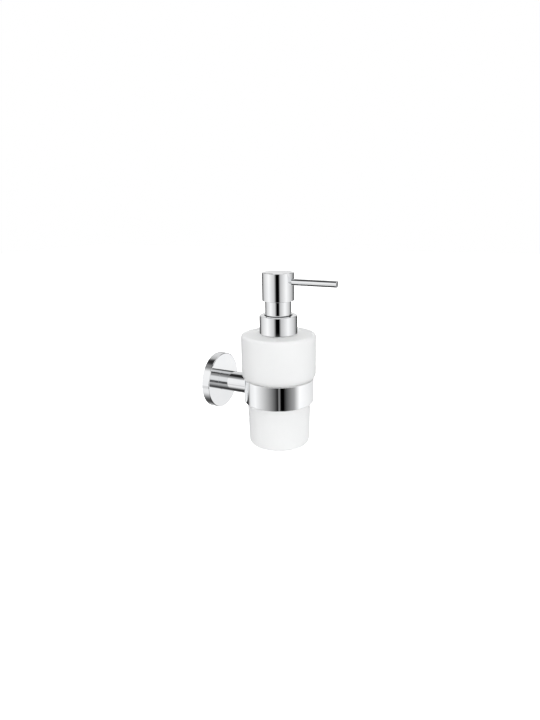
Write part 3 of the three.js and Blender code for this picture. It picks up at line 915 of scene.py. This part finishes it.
for make in (
    rosette, arm_post, holder_ring, ring_liner, glass_bottle, collar_shell, guide_sleeve, pump_head,
    spout_tube, wall_bracket, arm_washer, arm_bolt, rosette_grub_screw, ring_screw, threaded_closure,
    neck_gasket, pump_housing, housing_cap, dip_tube, return_spring, stem, piston, head_insert, collar_painted_shade,
):
    make()
for node in ("inlet_ball", "outlet_ball"):
    ball(node)


# ---------- Camera ----------
def camera():
    """Left of the dispenser and a little above it, looking down at it."""
    yaw, pitch, roll = radians(62.69), radians(15.93), radians(-0.85)
    place = Vector((-0.42912, -0.28228, 0.16456))
    lens, sensor, near, far = 26.458, 36, 0.01, 100
    ahead = Vector((sin(yaw) * cos(pitch), cos(yaw) * cos(pitch), -sin(pitch)))
    level = Vector((cos(yaw), -sin(yaw), 0))
    lift = level.cross(ahead)
    right = level * cos(roll) + lift * sin(roll)
    up = lift * cos(roll) - level * sin(roll)
    data = bpy.data.cameras.new("camera")
    data.sensor_width, data.lens = sensor, lens
    data.clip_start, data.clip_end = near, far
    made = bpy.data.objects.new("camera", data)
    bpy.context.scene.collection.objects.link(made)
    turn = Matrix((right, up, -ahead)).transposed().to_4x4()
    made.matrix_world = Matrix.Translation(place) @ turn
    bpy.context.scene.camera = made


camera()


# ---------- Studio ----------
FLOOR_DROP, FLOOR_SIZE = 0.30, 12
FLOOR_GLOW, FLOOR_GLOW_SEEN = 0.15, 1  # the camera sees the floor brighter than it lights the dispenser
CAMERA_SIDE = radians(-63.5)  # direction of the camera round the dispenser, from -Y towards +X


def ramp(tree, source, stops):
    """A colour ramp of greys. Stops are (turn in degrees, brightness), from -180 to 180."""
    made = tree.nodes.new("ShaderNodeValToRGB")
    tree.links.new(source, made.inputs["Fac"])
    elements = made.color_ramp.elements
    while len(elements) > 1:
        elements.remove(elements[-1])
    for i, (turn, level) in enumerate(stops):
        spot = elements[0] if i == 0 else elements.new((turn + 180) / 360)
        spot.position = (turn + 180) / 360
        spot.color = (level, level, level, 1)
    return made.outputs["Color"]


def arithmetic(tree, operation, a, b=None):
    made = tree.nodes.new("ShaderNodeMath")
    made.operation = operation
    for socket, value in zip(made.inputs, (a, b)):
        if value is None:
            continue
        if isinstance(value, (int, float)):
            socket.default_value = value
        else:
            tree.links.new(value, socket)
    return made.outputs["Value"]


def step(tree, source, start, end):
    """0 below start, 1 above end, smooth between."""
    made = tree.nodes.new("ShaderNodeMapRange")
    made.interpolation_type = "SMOOTHSTEP"
    tree.links.new(source, made.inputs["Value"])
    made.inputs["From Min"].default_value = start
    made.inputs["From Max"].default_value = end
    return made.outputs["Result"]


def mixed(tree, factor, a, b):
    made = tree.nodes.new("ShaderNodeMix")
    made.data_type = "RGBA"
    tree.links.new(factor, made.inputs[0])
    for socket, value in ((made.inputs[6], a), (made.inputs[7], b)):
        if isinstance(value, (int, float)):
            socket.default_value = (value, value, value, 1)
        else:
            tree.links.new(value, socket)
    return made.outputs[2]


def studio():
    """Light tent seen by the chrome: bright panels either side of a dark gap in front, dimmer behind."""
    world = bpy.data.worlds.new("studio")
    bpy.context.scene.world = world
    world.use_nodes = True
    tree = world.node_tree
    tree.nodes.clear()
    direction = tree.nodes.new("ShaderNodeTexCoord").outputs["Generated"]
    parts = tree.nodes.new("ShaderNodeSeparateXYZ")
    tree.links.new(direction, parts.inputs["Vector"])
    x, y, z = parts.outputs
    azimuth = arithmetic(tree, "ARCTAN2", x, arithmetic(tree, "MULTIPLY", y, -1))
    relative = arithmetic(tree, "SUBTRACT", azimuth, CAMERA_SIDE)
    wrapped = arithmetic(tree, "WRAP", relative, pi)
    wrapped.node.inputs[2].default_value = -pi
    turn = arithmetic(tree, "ADD", arithmetic(tree, "DIVIDE", wrapped, 2 * pi), 0.5)
    height = arithmetic(tree, "MULTIPLY", arithmetic(tree, "ARCSINE", z), 180 / pi)
    around = None
    for low, high, panels in BANDS:
        band = ramp(tree, turn, panels)
        around = mixed(tree, step(tree, height, low, high), around, band) if around else band
    path = tree.nodes.new("ShaderNodeLightPath").outputs
    lit = mixed(tree, path["Is Glossy Ray"], SOFT_FILL, around)
    shown = mixed(tree, path["Is Camera Ray"], lit, 1 / TENT_STRENGTH)
    background = tree.nodes.new("ShaderNodeBackground")
    tree.links.new(shown, background.inputs["Color"])
    background.inputs["Strength"].default_value = TENT_STRENGTH
    out = tree.nodes.new("ShaderNodeOutputWorld")
    tree.links.new(background.outputs["Background"], out.inputs["Surface"])


TENT_STRENGTH = 1.15
SOFT_FILL = 0.66  # what the matt pieces get from all round
# Panels of the light tent: (turn in degrees from the camera's side, brightness). They were set so that
# the chrome, seen from the camera, carries the photo's broad light and dark bands.
DARK = [(0, 0.02)]
BELOW = [
    (-180, 0.6), (-110, 0.85), (-50, 0.8), (-20, 0.45), (20, 0.45), (60, 0.8), (120, 0.86), (180, 0.65),
]
TABLE = [
    (-180, 0.6), (-135, 0), (-125, 0), (-110, 0.8), (-85, 0.95), (-5, 0), (0, 0.25), (5, 0), (15, 0),
    (50, 0.35), (70, 1), (180, 0.6),
]
BETWEEN = [(-180, 0.6), (-90, 0.9), (0, 0.3), (90, 0.8), (120, 0.9), (180, 0.6)]
LEVEL = [
    (-180, 0), (-150, 0), (-120, 0.6), (-70, 0.95), (-30, 0.6), (-15, 0), (5, 0), (15, 0.5), (60, 0.95),
    (110, 0.55), (150, 0), (180, 0),
]
EYE = [
    (-180, 0.1), (-150, 0.15), (-120, 0.65), (-70, 0.95), (-20, 0.55), (20, 0.6), (60, 0.95), (150, 0.1),
    (180, 0.1),
]
ABOVE = [
    (-180, 0.7), (-150, 0.6), (-135, 0.1), (-120, 0.7), (-90, 0.9), (60, 0.8), (105, 0.7), (120, 0.05),
    (135, 0.05), (150, 0.7), (180, 0.7),
]
UNDER_ROOF = [(-180, 0.7), (-120, 0.25), (0, 0.2), (30, 0.3), (90, 0.7), (180, 0.7)]
ROOF_EDGE = [(-180, 0.7), (-155, 0.02), (30, 0.02), (90, 0.5), (180, 0.7)]
ROOF = [(0, 0.85)]
# Bands of the tent from below upwards: where each fades in, in degrees above level.
BANDS = [
    (-90, -90, DARK),
    (-62, -34, BELOW),
    (-25, -22, TABLE),
    (-18, -16, BETWEEN),
    (-15, -13, LEVEL),
    (-5, -3, EYE),
    (2, 6, ABOVE),
    (34, 50, UNDER_ROOF),
    (52, 58, ROOF_EDGE),
    (68, 74, ROOF),
]
studio()


def area_light(name, place, size, power):
    """Soft disc aimed at the bottle's axis level with the arm, not seen by the camera or in reflections."""
    aim = (0, AXIS_Y, 0)
    data = bpy.data.lights.new(name, "AREA")
    data.shape, data.size, data.energy = "DISK", size, power
    made = bpy.data.objects.new(name, data)
    made.location = place
    made.rotation_euler = (Vector(aim) - Vector(place)).to_track_quat("-Z", "Y").to_euler()
    made.visible_glossy = False
    made.visible_camera = False
    bpy.context.scene.collection.objects.link(made)


area_light("soft_top", place=(0, AXIS_Y, 1.1), size=1.0, power=4)
area_light("soft_front", place=(-0.85, -0.75, 0.35), size=0.6, power=5)


def floor():
    """Pale floor that the camera sees as lit paper."""
    bpy.ops.mesh.primitive_plane_add(size=FLOOR_SIZE, location=(0, 0, cad_box[0].z - FLOOR_DROP))
    made = bpy.context.object
    made.name = "studio_floor"
    paper = Finish("pale_floor", (0.9, 0.9, 0.9), roughness=0.85)
    paper.colours(paper.noise(3, 3), (0.89, 0.89, 0.89), (0.92, 0.92, 0.92))
    paper.surface.inputs["Emission Color"].default_value = (1, 1, 1, 1)
    seen = paper.tree.nodes.new("ShaderNodeLightPath").outputs["Is Camera Ray"]
    glow = paper.between(seen, FLOOR_GLOW, FLOOR_GLOW_SEEN, 0, 1)
    paper.tree.links.new(glow, paper.surface.inputs["Emission Strength"])
    made.data.materials.append(paper.material)
    made.visible_glossy = False


floor()
bpy.context.scene.view_settings.view_transform = "Standard"
